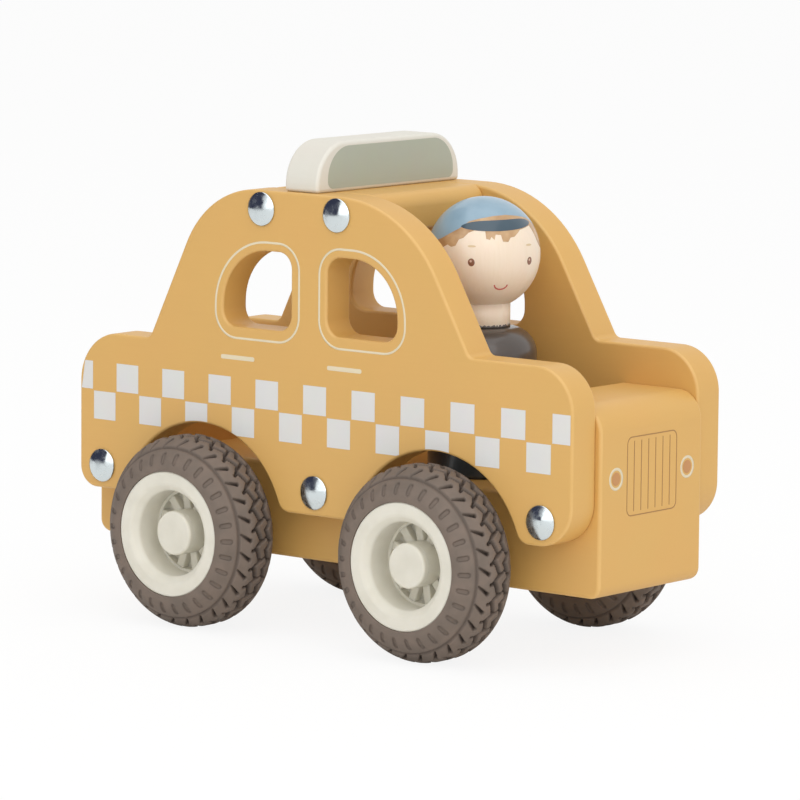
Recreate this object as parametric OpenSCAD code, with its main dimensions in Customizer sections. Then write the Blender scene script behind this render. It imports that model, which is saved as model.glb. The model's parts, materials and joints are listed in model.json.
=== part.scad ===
// Wooden toy taxi: two side panels over a chassis beam, blocks and roof board, free-rolling wheels
// with rubber tyres, a sign on the roof and a peg doll that stands loose in the cab.
// Origin on the ground under the middle of the body, X forward, Z up, millimetres.

/* [Body] */
// Length of the body, tail to nose
body_len = 170; // [160:1:190]
// Width of the wooden core between the two side panels
core_w = 44.2; // [40:0.1:52]
// Thickness of each side panel
panel_t = 10; // [8:0.5:12]
// Depth of the chassis beam's underside below the axles
belly_drop = 6.5; // [5:0.5:8]
// Thickness of the chassis beam
beam_t = 25.5; // [22:0.5:28]
// Length of the nose block and of the tail block
block_len = 23.7; // [20:0.1:28]
// Distance that the blocks stand out beyond the panels' ends
block_proud = 1.65; // [0.5:0.05:2.5]
// Height of the nose and tail blocks
block_h = 50.3; // [44:0.1:54]
// Radius of the bonnet's front edge and the boot's rear edge
block_edge_r = 7.5; // [4:0.5:10]
// Radius of the lower end edges of the blocks
block_foot_r = 3.5; // [1:0.5:4]

/* [Side panels] */
// Height of the panels' lower edge above the beam's underside
sill_rise = 14; // [11:0.5:15]
// Height of the boot line above the beam's underside
boot_rise = 57; // [53:0.5:60]
// Height of the bonnet line above the beam's underside
bonnet_rise = 60.7; // [56:0.1:63]
// Height of the roof line above the beam's underside
roof_rise = 99.7; // [94:0.1:108]
// Length of the boot line, from the tail to the foot of the rear window slope
boot_len = 25.4; // [23:0.1:30]
// Length of the bonnet line, from the nose to the foot of the windscreen slope
bonnet_len = 33.8; // [30:0.1:38]
// Slope of the rear window line, in degrees
rear_slope = 64.2; // [60:0.2:70]
// Slope of the windscreen line, in degrees
screen_slope = 60.4; // [58:0.2:70]
// Radius of the boot's corner
boot_r = 13.8; // [8:0.1:18]
// Radius of the bonnet's corner
bonnet_r = 11.8; // [8:0.1:18]
// Radius of the roof line at the rear
roof_rear_r = 27.8; // [20:0.1:32]
// Radius of the roof line at the front
roof_front_r = 37.5; // [20:0.5:42]
// Radius in the hollow corners at the foot of the cab
cab_foot_r = 2.5; // [1:0.5:4]
// Radius of the sill's corner at the tail
sill_tail_r = 5.7; // [3:0.1:8]
// Radius of the sill's corner at the nose
sill_nose_r = 11; // [6:0.5:13]
// Radius of the panel corners beside the wheel arches
arch_end_r = 4; // [2:0.5:5]
// Gap between the tyres and the wheel arches
arch_gap = 2.8; // [2:0.1:4]

/* [Windows] */
// Width of each window opening, as a share of the cab's length
window_share = 0.2148; // [0.18:0.001:0.24]
// Height of each window opening
window_h = 21; // [18:0.1:23]
// Height of the window sills above the beam's underside
window_rise = 62.5; // [60:0.1:66]
// Width of the pillar between the two windows
pillar_w = 12.4; // [9:0.1:16]
// Place of the pillar's middle along the cab, as a share of its length from the boot
pillar_share = 0.5088; // [0.48:0.001:0.53]
// Radius of each window's outer upper corner
window_sweep_r = 15.2; // [8:0.1:16]
// Radius of the other window corners
window_r = 4.5; // [2:0.5:6]

/* [Roof] */
// Thickness of the roof board
roof_t = 10; // [8:0.5:12]
// Length of the roof board, as a share of the roof line between its two slopes
roof_len_share = 0.5735; // [0.5:0.005:0.6]
// Place of the roof board's middle along the roof line, as a share from the rear
roof_mid_share = 0.47547; // [0.43:0.001:0.5]
// Radius of the roof board's upper front and rear edges
roof_edge_r = 4; // [2:0.5:4.5]
// Length of the sign, across the car
sign_len = 60; // [46:0.5:64]
// Depth of the sign, along the car
sign_depth = 11.6; // [9:0.2:13]
// Height of the sign
sign_h = 13.4; // [12:0.1:17]
// Radius of the sign's upper corners
sign_r = 11.5; // [6:0.5:11.5]
// Distance of the sign's middle behind the roof board's middle, as a share of the board's length
sign_setback_share = 0.03; // [-0.05:0.005:0.12]

/* [Wheels] */
// Radius of the tyres
tyre_r = 26; // [23:0.5:28]
// Width of the tyres
tyre_w = 19.5; // [17:0.5:22]
// Width of the flat tread
tread_w = 7.2; // [6:0.1:11]
// Radius of the tread's shoulders
shoulder_r = 4; // [1:0.5:5]
// Radius of the ridge between the sidewall and the shoulder
ridge_r = 23.2; // [21.8:0.1:23.4]
// Step from the sidewall down to the ridge
ridge_step = 2.8; // [1:0.1:3]
// Radius of the ridge's edge
ridge_edge_r = 1; // [0.5:0.1:2]
// Outer radius of the sidewall's flat part
sidewall_r = 19.8; // [19:0.1:21]
// Rounding between the sidewall's flat part and its slope
sidewall_edge_r = 5; // [2:0.5:6]
// Gap between the chassis beam and the tyres
tyre_gap = 4.4; // [3:0.1:7]
// Distance of the front axle before the body's middle, as a share of the body's length
front_axle_share = 0.23574; // [0.22:0.001:0.245]
// Distance of the rear axle behind the body's middle, as a share of the body's length
rear_axle_share = 0.23897; // [0.225:0.001:0.25]
// Diameter of the axles
axle_d = 4; // [3:0.5:5]
// Outer radius of the rim
rim_r = 17; // [15.8:0.1:17.6]
// Radius of the seat that carries the tyre
seat_r = 15; // [14.2:0.1:15.4]
// Thickness of the rim's two flanges
flange_t = 2.5; // [2:0.1:3]
// Distance of the rim behind the tyre's sidewall
rim_setback = 0.2; // [0.1:0.05:0.6]
// Inner radius of the rim's rounded lip
lip_r = 13.4; // [12.6:0.1:14.6]
// Radius of the mouth of the dish
dish_r = 11.6; // [11.3:0.1:12.4]
// Depth of the lip's slope down to the mouth of the dish
lip_depth = 1.8; // [1:0.1:3]
// Depth of the dish below the rim
dish_depth = 8.9; // [7:0.1:10]
// Radius of the dish's floor
floor_r = 11.4; // [11:0.1:11.6]
// Outer radius of the pockets in the dish's floor
pocket_r = 10.7; // [9.5:0.1:10.9]
// Depth of the pockets below the dish's floor
pocket_depth = 2.6; // [1.5:0.1:4]
// Thickness of the web under the pockets
web_t = 2.5; // [1.5:0.1:4]
// Radius of the hub's middle boss and cap
boss_r = 6; // [4.8:0.1:6.5]
// Depth of the cap's face below the rim
cap_setback = 2.3; // [1:0.05:3]
// Thickness of the cap's head
cap_t = 2; // [1.5:0.1:2.6]
// Length of the cap's plug
plug_len = 3; // [2:0.1:3.6]
// Radius of the cap's plug
plug_r = 3.3; // [3:0.1:4]
// Number of ribs between the pockets
rib_count = 12; // [6:1:14]
// Turn of the first rib from the forward direction, in degrees
rib_turn = 10; // [0:1:35]
// Thickness of a rib
rib_t = 2.4; // [1:0.1:2.6]
// Height of the ribs above the pockets' floor
rib_h = 2.3; // [1:0.1:3]

/* [Bushes] */
// Outer radius of a bush's sleeve
bush_r = 3.5; // [3.2:0.1:4]
// Length of a bush's sleeve
bush_len = 10; // [7:0.5:14]
// Radius of a bush's flange
bush_flange_r = 5; // [4.6:0.1:5.4]
// Thickness of a bush's flange
bush_flange_t = 1; // [0.6:0.1:1.5]

/* [Driver] */
// Distance of the driver's middle behind the foot of the windscreen slope
driver_setback = 20.8; // [16:0.1:21.5]
// Radius of the driver's body
driver_r = 14.4; // [12:0.1:15]
// Height of the driver's body, floor to collar
driver_h = 39.3; // [34:0.1:44]
// Radius of the neck
neck_r = 7.2; // [5.5:0.1:8]
// Height of the head's middle above the collar
head_rise = 19.4; // [17:0.1:23]
// Radius of the head
head_r = 15; // [12:0.1:16]
// Radius of the spigot under the neck
spigot_r = 4; // [3:0.1:4.8]
// Length of the spigot
spigot_len = 12; // [8:0.5:16]
// Radius of the body's bottom edge
driver_foot_r = 1; // [0.5:0.1:2]

/* [Fixings] */
// Radius of the domed heads
dome_r = 4.55; // [4:0.05:5.2]
// Height of the domed heads
dome_h = 1.5; // [1.2:0.1:2.6]
// Diameter of the fixings' shanks
shank_d = 4; // [3:0.5:5]
// Length of shank in the wood behind the panel
grip_len = 15; // [11:0.5:17]
// Height of the sill fixings above the sill
sill_pin_rise = 6.3; // [5.5:0.1:7.5]
// Distance of the tail fixings from the tail
tail_pin_inset = 8.4; // [7:0.1:10]
// Distance of the nose fixings from the nose, as a share of the sill before the front arch
nose_pin_share = 0.69156; // [0.6:0.005:0.75]
// Distance of the middle sill fixings behind the middle between the axles
mid_pin_setback = 0.45; // [-2:0.05:3]
// Distance of the roof fixings from the roof board's ends, as a share of the board's length
roof_pin_share = 0.16667; // [0.15:0.005:0.2]
// Diameter of the dowels
dowel_d = 6; // [5:0.5:7]
// Depth of the beam's dowels in each piece
dowel_depth = 8; // [6:0.5:8.5]
// Spacing of the beam's dowels across the car
dowel_pitch = 20; // [16:1:26]
// Depth of the sign's dowels in the sign and in the roof board
sign_dowel_depth = 6; // [4:0.5:7]
// Spacing of the sign's dowels across the car
sign_dowel_pitch = 24; // [18:1:30]

/* [Hidden] */
// Running clearance of a shaft in its bush, on the radius
run_gap = 0.05;
// Clearance of a glued or pressed piece in its hole, on the radius
seat_gap = 0.02;
// Free play left at the end of a blind hole or beside a turning hub
end_gap = 0.3;
// Overrun of cuts past the faces that they open
cut = 1;
// Step of the rounded corners, in degrees
arc_step = 6;
// Rounding of the cap's and the rim's outer edges
cap_edge_r = cap_t / 2;
rim_edge_r = flange_t / 2;
$fn = 96;

ochre = "#dbae68";
cream = "#e6e2d6";
beech = "#dcc49a";
steel = "#c3c8cc";
rubber = "#81736a";
hub_cream = "#ddd7c8";
nylon = "#d8d6cf";
shirt = "#5c5550";
skin_wood = "#ebd6bc";

// Heights above the ground
axle_z = tyre_r;
belly_z = axle_z - belly_drop;
floor_z = belly_z + beam_t;
sill_z = belly_z + sill_rise;
boot_z = belly_z + boot_rise;
bonnet_z = belly_z + bonnet_rise;
roof_z = belly_z + roof_rise;
window_z = belly_z + window_rise;
sill_pin_z = sill_z + sill_pin_rise;
roof_pin_z = roof_z - roof_t / 2;
collar_z = floor_z + driver_h;
dowel_z = (sill_z + floor_z) / 2 - dowel_d / 2;

// Places along the body
tail_x = -body_len / 2;
nose_x = body_len / 2;
beam_len = body_len - 2 * block_len;
front_axle_x = front_axle_share * body_len;
rear_axle_x = -rear_axle_share * body_len;
boot_end_x = tail_x + boot_len;
bonnet_end_x = nose_x - bonnet_len;
roof_rear_x = boot_end_x + (roof_z - boot_z) / tan(rear_slope);
roof_front_x = bonnet_end_x - (roof_z - bonnet_z) / tan(screen_slope);
cab_len = bonnet_end_x - boot_end_x;
window_w = window_share * cab_len;
pillar_x = boot_end_x + pillar_share * cab_len;
roof_line = roof_front_x - roof_rear_x;
roof_len = roof_len_share * roof_line;
roof_x = roof_rear_x + roof_mid_share * roof_line;
sign_x = roof_x - sign_setback_share * roof_len;
driver_x = bonnet_end_x - driver_setback;
mid_pin_x = (front_axle_x + rear_axle_x) / 2 - mid_pin_setback;

// Distances from the car's middle plane, along the axles
core_y = core_w / 2;
panel_y = core_y + panel_t;
tyre_in = core_y + tyre_gap;
tyre_out = tyre_in + tyre_w;
rim_in = tyre_in + rim_setback;
rim_out = tyre_out - rim_setback;
boss_in = core_y + bush_flange_t + end_gap;
boss_out = rim_out - cap_setback - cap_t;
dish_out = rim_out - dish_depth;
floor_out = dish_out - pocket_depth;
axle_end = boss_out - plug_len - end_gap;

axle_r = axle_d / 2;
shank_r = shank_d / 2;
dowel_r = dowel_d / 2;
arch_r = tyre_r + arch_gap;

// Sill left before the front arch and behind the rear one, which limits the sill's end corners
arch_end_rise = sill_z + arch_end_r - axle_z;
arch_half = sqrt(pow(arch_r + arch_end_r, 2) - pow(arch_end_rise, 2));
nose_land = nose_x - front_axle_x - arch_half;
tail_land = rear_axle_x - arch_half - tail_x;

// Share of the roof line that its two radii may take, and the share of them that fits there
roof_bend_share = 0.95;
roof_bend = roof_front_r * tan(screen_slope / 2) + roof_rear_r * tan(rear_slope / 2);
roof_fit_share = min(1, roof_bend_share * roof_line / roof_bend);

// Places of the fixings along the body
sill_pins_x = [tail_x + tail_pin_inset, mid_pin_x, nose_x - nose_pin_share * nose_land];
roof_pins_x = [for (end = [-1, 1]) roof_x + end * (1 / 2 - roof_pin_share) * roof_len];

right = 1;
left = -1;

function unit(v) = v / norm(v);

// Points of an arc from angle a0 to angle a1
function arc(centre, r, a0, a1) =
    let (n = max(1, ceil(abs(a1 - a0) / arc_step)))
    [for (i = [0:n]) let (a = a0 + (a1 - a0) * i / n) centre + r * [cos(a), sin(a)]];

// Corner p of an outline, between its neighbours a and b, rounded to radius r
function corner(a, p, b, r) =
    r == 0 ? [p] :
    let (
        u = unit(a - p),
        v = unit(b - p),
        half = acos(u * v) / 2,
        centre = p + unit(u + v) * r / sin(half),
        from = p + u * r / tan(half) - centre,
        to = p + v * r / tan(half) - centre,
        start = atan2(from.y, from.x),
        turn = atan2(from.x * to.y - from.y * to.x, from * to)
    )
    arc(centre, r, start, start + turn);

// Closed outline through pts, each corner with its own radius
function rounded(pts, radii) =
    let (n = len(pts))
    [for (i = [0:n - 1]) each corner(pts[(i + n - 1) % n], pts[i], pts[(i + 1) % n], radii[i])];

function box_corners(x0, y0, x1, y1) = [[x0, y0], [x1, y0], [x1, y1], [x0, y1]];

// Sill line across one wheel arch, from the rounded corner behind it to the one before it
function arch_run(axle_x) =
    let (
        centre = [axle_x, axle_z],
        tilt = atan2(arch_end_rise, arch_half)
    )
    concat(
        arc(centre + [-arch_half, arch_end_rise], arch_end_r, -90, -tilt),
        arc(centre, arch_r, 180 - tilt, tilt),
        arc(centre + [arch_half, arch_end_rise], arch_end_r, 180 + tilt, 270)
    );

// Outline of a side panel, seen from the right with the nose at +X
function panel_outline() =
    let (
        rear_foot = [tail_x, sill_z],
        front_foot = [nose_x, sill_z],
        bonnet_tip = [nose_x, bonnet_z],
        screen_foot = [bonnet_end_x, bonnet_z],
        roof_front = [roof_front_x, roof_z],
        roof_rear = [roof_rear_x, roof_z],
        rear_glass_foot = [boot_end_x, boot_z],
        boot_tip = [tail_x, boot_z]
    )
    concat(
        corner(boot_tip, rear_foot, front_foot, min(sill_tail_r, tail_land)),
        arch_run(rear_axle_x),
        arch_run(front_axle_x),
        corner(rear_foot, front_foot, bonnet_tip, min(sill_nose_r, nose_land)),
        corner(front_foot, bonnet_tip, screen_foot, bonnet_r),
        corner(bonnet_tip, screen_foot, roof_front, cab_foot_r),
        corner(screen_foot, roof_front, roof_rear, roof_fit_share * roof_front_r),
        corner(roof_front, roof_rear, rear_glass_foot, roof_fit_share * roof_rear_r),
        corner(roof_rear, rear_glass_foot, boot_tip, cab_foot_r),
        corner(rear_glass_foot, boot_tip, rear_foot, boot_r)
    );

// Front window opening, from the pillar forward
function window_outline() =
    rounded(
        box_corners(pillar_w / 2, window_z, pillar_w / 2 + window_w, window_z + window_h),
        [window_r, window_r, min(window_sweep_r, window_w - window_r, window_h - window_r), window_r]
    );

// Turns a piece drawn along +Z outwards along the axles, on the right or left side of the car
module outwards(side) {
    rotate([side * 90, 0, 0])
        children();
}

module at_pins(xs, z, side) {
    for (x = xs)
        translate([x, 0, z])
            outwards(side)
                translate([0, 0, panel_y])
                    children();
}

// Holes for the fixings, through a panel and into the wood behind it
module pin_holes(xs, z, side) {
    at_pins(xs, z, side)
        translate([0, 0, -panel_t - grip_len - end_gap])
            cylinder(h = panel_t + grip_len + end_gap + cut, r = shank_r + seat_gap);
}

module dome_pins(xs, z, side) {
    ball_r = (dome_r * dome_r + dome_h * dome_h) / (2 * dome_h);
    profile = concat(
        [[0, -panel_t - grip_len], [shank_r, -panel_t - grip_len], [shank_r, 0]],
        arc([0, dome_h - ball_r], ball_r, acos(dome_r / ball_r), 90)
    );
    color(steel)
        at_pins(xs, z, side)
            rotate_extrude()
                polygon(profile);
}

module side_panel(side) {
    color(ochre)
        difference() {
            rotate([90, 0, 0])
                translate([0, 0, side > 0 ? core_y : -panel_y])
                    linear_extrude(panel_t)
                        difference() {
                            polygon(panel_outline());
                            translate([pillar_x, 0])
                                for (way = [0, 1])
                                    mirror([way, 0])
                                        polygon(window_outline());
                        }
            pin_holes(sill_pins_x, sill_pin_z, side);
            pin_holes(roof_pins_x, roof_pin_z, side);
        }
}

// Holes or dowels at the beam's two rows of glued joints
module beam_dowels(x, r, reach) {
    for (way = [-1, 1])
        translate([x - reach, way * dowel_pitch / 2, dowel_z])
            rotate([0, 90, 0])
                cylinder(h = 2 * reach, r = r);
}

module joint_dowels(x) {
    color(beech)
        beam_dowels(x, dowel_r, dowel_depth);
}

module chassis_beam() {
    color(ochre)
        difference() {
            translate([-beam_len / 2, -core_y, belly_z])
                cube([beam_len, core_w, beam_t]);
            for (x = [front_axle_x, rear_axle_x])
                translate([x, 0, axle_z])
                    rotate([90, 0, 0])
                        cylinder(h = core_w + 2 * cut, r = bush_r + seat_gap, center = true);
            for (way = [-1, 1])
                beam_dowels(way * beam_len / 2, dowel_r + seat_gap, dowel_depth + end_gap);
            for (side = [right, left])
                pin_holes([mid_pin_x], sill_pin_z, side);
        }
}

// Block across one end of the car, its rounded upper edge outwards
module end_block(way, pin_x) {
    profile = rounded(
        box_corners(beam_len / 2, belly_z, nose_x + block_proud, belly_z + block_h),
        [0, block_foot_r, block_edge_r, 0]
    );
    color(ochre)
        difference() {
            rotate([90, 0, 0])
                linear_extrude(core_w, center = true)
                    mirror([way < 0 ? 1 : 0, 0])
                        polygon(profile);
            beam_dowels(way * beam_len / 2, dowel_r + seat_gap, dowel_depth + end_gap);
            for (side = [right, left])
                pin_holes([pin_x], sill_pin_z, side);
        }
}

// Holes or dowels between the roof board and the sign
module sign_joint(r, reach) {
    for (way = [-1, 1])
        translate([sign_x, way * sign_dowel_pitch / 2, roof_z - reach])
            cylinder(h = 2 * reach, r = r);
}

module sign_dowels() {
    color(beech)
        sign_joint(dowel_r, sign_dowel_depth);
}

module roof_board() {
    profile = rounded(
        box_corners(roof_x - roof_len / 2, roof_z - roof_t, roof_x + roof_len / 2, roof_z),
        [0, 0, roof_edge_r, roof_edge_r]
    );
    color(ochre)
        difference() {
            rotate([90, 0, 0])
                linear_extrude(core_w, center = true)
                    polygon(profile);
            sign_joint(dowel_r + seat_gap, sign_dowel_depth + end_gap);
            for (side = [right, left])
                pin_holes(roof_pins_x, roof_pin_z, side);
        }
}

module roof_sign() {
    profile = rounded(
        box_corners(-sign_len / 2, 0, sign_len / 2, sign_h),
        [0, 0, sign_r, sign_r]
    );
    color(cream)
        difference() {
            translate([sign_x - sign_depth / 2, 0, roof_z])
                rotate([90, 0, 90])
                    linear_extrude(sign_depth)
                        polygon(profile);
            sign_joint(dowel_r + seat_gap, sign_dowel_depth + end_gap);
        }
}

// Places a piece on one axle, drawn along +Z from the car's middle plane outwards
module on_axle(x, side) {
    translate([x, 0, axle_z])
        outwards(side)
            children();
}

module bushes(x) {
    color(nylon)
        for (side = [right, left])
            on_axle(x, side)
                difference() {
                    union() {
                        translate([0, 0, core_y - bush_len])
                            cylinder(h = bush_len, r = bush_r);
                        translate([0, 0, core_y])
                            cylinder(h = bush_flange_t, r = bush_flange_r);
                    }
                    translate([0, 0, core_y - bush_len - cut])
                        cylinder(h = bush_len + bush_flange_t + 2 * cut, r = axle_r + run_gap);
                }
}

module axle(x) {
    color(steel)
        translate([x, 0, axle_z])
            rotate([90, 0, 0])
                cylinder(h = 2 * axle_end, r = axle_r, center = true);
}

// Rib between two pockets, from the boss to the wall of the dish
module rib() {
    translate([boss_r / 2, -rib_t / 2, floor_out - web_t / 2])
        cube([(pocket_r + seat_r) / 2 - boss_r / 2, rib_t, rib_h + web_t / 2]);
}

module hub(x, side) {
    bore_r = axle_r + seat_gap;
    socket_r = plug_r + seat_gap;
    profile = [
        [bore_r, boss_in],
        [boss_r, boss_in],
        [boss_r, floor_out - web_t],
        [dish_r, floor_out - web_t],
        [dish_r, rim_in],
        [rim_r, rim_in],
        [rim_r, rim_in + flange_t],
        [seat_r, rim_in + flange_t],
        [seat_r, rim_out - flange_t],
        [rim_r, rim_out - flange_t],
        [rim_r, rim_out],
        [lip_r, rim_out],
        [dish_r, rim_out - lip_depth],
        [floor_r, dish_out],
        [pocket_r, dish_out],
        [pocket_r, floor_out],
        [boss_r, floor_out],
        [boss_r, boss_out],
        [socket_r, boss_out],
        [socket_r, boss_out - plug_len - end_gap],
        [bore_r, boss_out - plug_len - end_gap]
    ];
    radii = [for (p = profile) p == [rim_r, rim_out] ? rim_edge_r : 0];
    color(hub_cream)
        on_axle(x, side)
            union() {
                rotate_extrude()
                    polygon(rounded(profile, radii));
                difference() {
                    for (i = [0:rib_count - 1])
                        rotate(rib_turn + i * 360 / rib_count)
                            rib();
                    cylinder(h = rim_out, r = (socket_r + boss_r) / 2);
                }
            }
}

module tyre(x, side) {
    flange_pocket = rim_setback + flange_t + seat_gap;
    pocket_r = rim_r + seat_gap;
    mid = (tyre_in + tyre_out) / 2;
    half_profile = [
        [seat_r + seat_gap, tyre_w / 2 - flange_pocket],
        [pocket_r, tyre_w / 2 - flange_pocket],
        [pocket_r, tyre_w / 2],
        [sidewall_r, tyre_w / 2],
        [ridge_r, tyre_w / 2 - ridge_step],
        [tyre_r, tread_w / 2]
    ];
    half_radii = [0, 0, 0, sidewall_edge_r, ridge_edge_r, shoulder_r];
    n = len(half_profile);
    profile = concat(
        half_profile,
        [for (i = [n - 1:-1:0]) [half_profile[i].x, -half_profile[i].y]]
    );
    radii = concat(half_radii, [for (i = [n - 1:-1:0]) half_radii[i]]);
    color(rubber)
        on_axle(x, side)
            translate([0, 0, mid])
                rotate_extrude()
                    polygon(rounded(profile, radii));
}

module hub_cap(x, side) {
    profile = rounded(
        [
            [0, -plug_len],
            [plug_r, -plug_len],
            [plug_r, 0],
            [boss_r, 0],
            [boss_r, cap_t],
            [0, cap_t]
        ],
        [0, 0, 0, 0, cap_edge_r, 0]
    );
    color(hub_cream)
        on_axle(x, side)
            translate([0, 0, boss_out])
                rotate_extrude()
                    polygon(profile);
}

module driver_body() {
    profile = rounded(
        [[0, floor_z], [driver_r, floor_z], [driver_r, collar_z], [0, collar_z]],
        [0, driver_foot_r, driver_r - neck_r, 0]
    );
    color(shirt)
        translate([driver_x, 0, 0])
            difference() {
                rotate_extrude()
                    polygon(profile);
                translate([0, 0, collar_z - spigot_len - end_gap])
                    cylinder(h = spigot_len + end_gap + cut, r = spigot_r + run_gap);
            }
}

module driver_head() {
    color(skin_wood)
        translate([driver_x, 0, collar_z]) {
            translate([0, 0, head_rise])
                sphere(r = head_r);
            cylinder(h = head_rise, r = neck_r);
            translate([0, 0, -spigot_len])
                cylinder(h = spigot_len, r = spigot_r);
        }
}

chassis_beam();
end_block(1, sill_pins_x[2]);  // nose_block
end_block(-1, sill_pins_x[0]);  // tail_block
roof_board();
side_panel(right);  // right_panel
side_panel(left);  // left_panel
roof_sign();
joint_dowels(beam_len / 2);  // nose_dowels
joint_dowels(-beam_len / 2);  // tail_dowels
sign_dowels();
dome_pins(roof_pins_x, roof_pin_z, right);  // right_roof_pins
dome_pins(sill_pins_x, sill_pin_z, right);  // right_sill_pins
dome_pins(roof_pins_x, roof_pin_z, left);  // left_roof_pins
dome_pins(sill_pins_x, sill_pin_z, left);  // left_sill_pins
bushes(front_axle_x);  // front_bushes
bushes(rear_axle_x);  // rear_bushes
axle(front_axle_x);  // front_axle
axle(rear_axle_x);  // rear_axle
hub(front_axle_x, right);  // front_right_hub
hub(front_axle_x, left);  // front_left_hub
hub(rear_axle_x, right);  // rear_right_hub
hub(rear_axle_x, left);  // rear_left_hub
tyre(front_axle_x, right);  // front_right_tyre
tyre(front_axle_x, left);  // front_left_tyre
tyre(rear_axle_x, right);  // rear_right_tyre
tyre(rear_axle_x, left);  // rear_left_tyre
hub_cap(front_axle_x, right);  // front_right_cap
hub_cap(front_axle_x, left);  // front_left_cap
hub_cap(rear_axle_x, right);  // rear_right_cap
hub_cap(rear_axle_x, left);  // rear_left_cap
driver_body();
driver_head();
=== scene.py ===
import json
import math

import bmesh
import bpy
import numpy as np
from mathutils import Matrix, Vector


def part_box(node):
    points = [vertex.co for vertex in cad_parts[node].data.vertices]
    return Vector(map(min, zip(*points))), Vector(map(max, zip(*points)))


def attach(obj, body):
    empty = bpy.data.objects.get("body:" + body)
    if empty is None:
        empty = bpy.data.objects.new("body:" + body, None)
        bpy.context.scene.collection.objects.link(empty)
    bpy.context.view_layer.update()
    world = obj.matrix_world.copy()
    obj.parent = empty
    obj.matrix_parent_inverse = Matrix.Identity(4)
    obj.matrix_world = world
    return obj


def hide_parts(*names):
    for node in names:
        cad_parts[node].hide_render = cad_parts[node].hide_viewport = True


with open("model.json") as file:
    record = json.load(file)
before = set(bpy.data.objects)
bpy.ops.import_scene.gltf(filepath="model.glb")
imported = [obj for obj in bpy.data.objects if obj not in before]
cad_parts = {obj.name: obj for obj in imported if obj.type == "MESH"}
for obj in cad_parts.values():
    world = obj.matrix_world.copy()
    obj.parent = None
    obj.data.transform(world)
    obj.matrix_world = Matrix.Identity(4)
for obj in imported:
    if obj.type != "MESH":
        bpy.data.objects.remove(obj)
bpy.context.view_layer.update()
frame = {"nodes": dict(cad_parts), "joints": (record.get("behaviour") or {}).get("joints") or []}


# Chassis beam
# A planed beech beam that carries the axles and ties the two end blocks together, with its edges
# eased by a sanding belt. It is sprayed ochre like the rest of the body and pinned from both sides.

MM = 0.001


def linear(hex_colour):
    """A written sRGB colour as the linear RGBA that the shaders take."""
    channels = [int(hex_colour[i:i + 2], 16) / 255 for i in (1, 3, 5)]
    return [c / 12.92 if c <= 0.04045 else ((c + 0.055) / 1.055) ** 2.4 for c in channels] + [1.0]


def add_node(tree, kind, settings=None, links=None, stops=()):
    """One shader node. Settings name its properties or its inputs, links join inputs to outputs,
    and stops are the places and colours of a ramp."""
    node = tree.nodes.new("ShaderNode" + kind)
    for key, value in (settings or {}).items():
        if isinstance(key, str) and hasattr(node, key):
            setattr(node, key, value)
        else:
            node.inputs[key].default_value = value
    for key, (source, output) in (links or {}).items():
        tree.links.new(source.outputs[output], node.inputs[key])
    for i, (position, colour) in enumerate(stops):
        node.color_ramp.elements[i].position = position
        node.color_ramp.elements[i].color = linear(colour)
    return node


def start_material(name):
    """A new material, its nodes, and a link to coordinates in metres fixed to the piece."""
    material = bpy.data.materials.new(name)
    material.use_nodes = True
    tree = material.node_tree
    tree.nodes.clear()
    return material, tree, {"Vector": (add_node(tree, "TexCoord"), "Object")}


def finish_material(tree, settings, links, gloss, *reliefs, spread=(0.0, 1.0)):
    """The shader: a pattern spreads its roughness between two values, and other patterns give it
    fine reliefs, each with a strength and a depth, laid one over the other."""
    pattern, smooth, rough = gloss
    roughness = add_node(
        tree, "MapRange", {"From Min": spread[0], "From Max": spread[1], "To Min": smooth, "To Max": rough},
        {"Value": (pattern, "Fac")},
    )
    normal = {}
    for pattern, strength, depth in reliefs:
        bump = add_node(
            tree, "Bump", {"Strength": strength, "Distance": depth}, {"Height": (pattern, "Fac"), **normal}
        )
        normal = {"Normal": (bump, "Normal")}
    shader = add_node(
        tree, "BsdfPrincipled", settings, {**links, **normal, "Roughness": (roughness, "Result")}
    )
    add_node(tree, "OutputMaterial", links={"Surface": (shader, "BSDF")})


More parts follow.
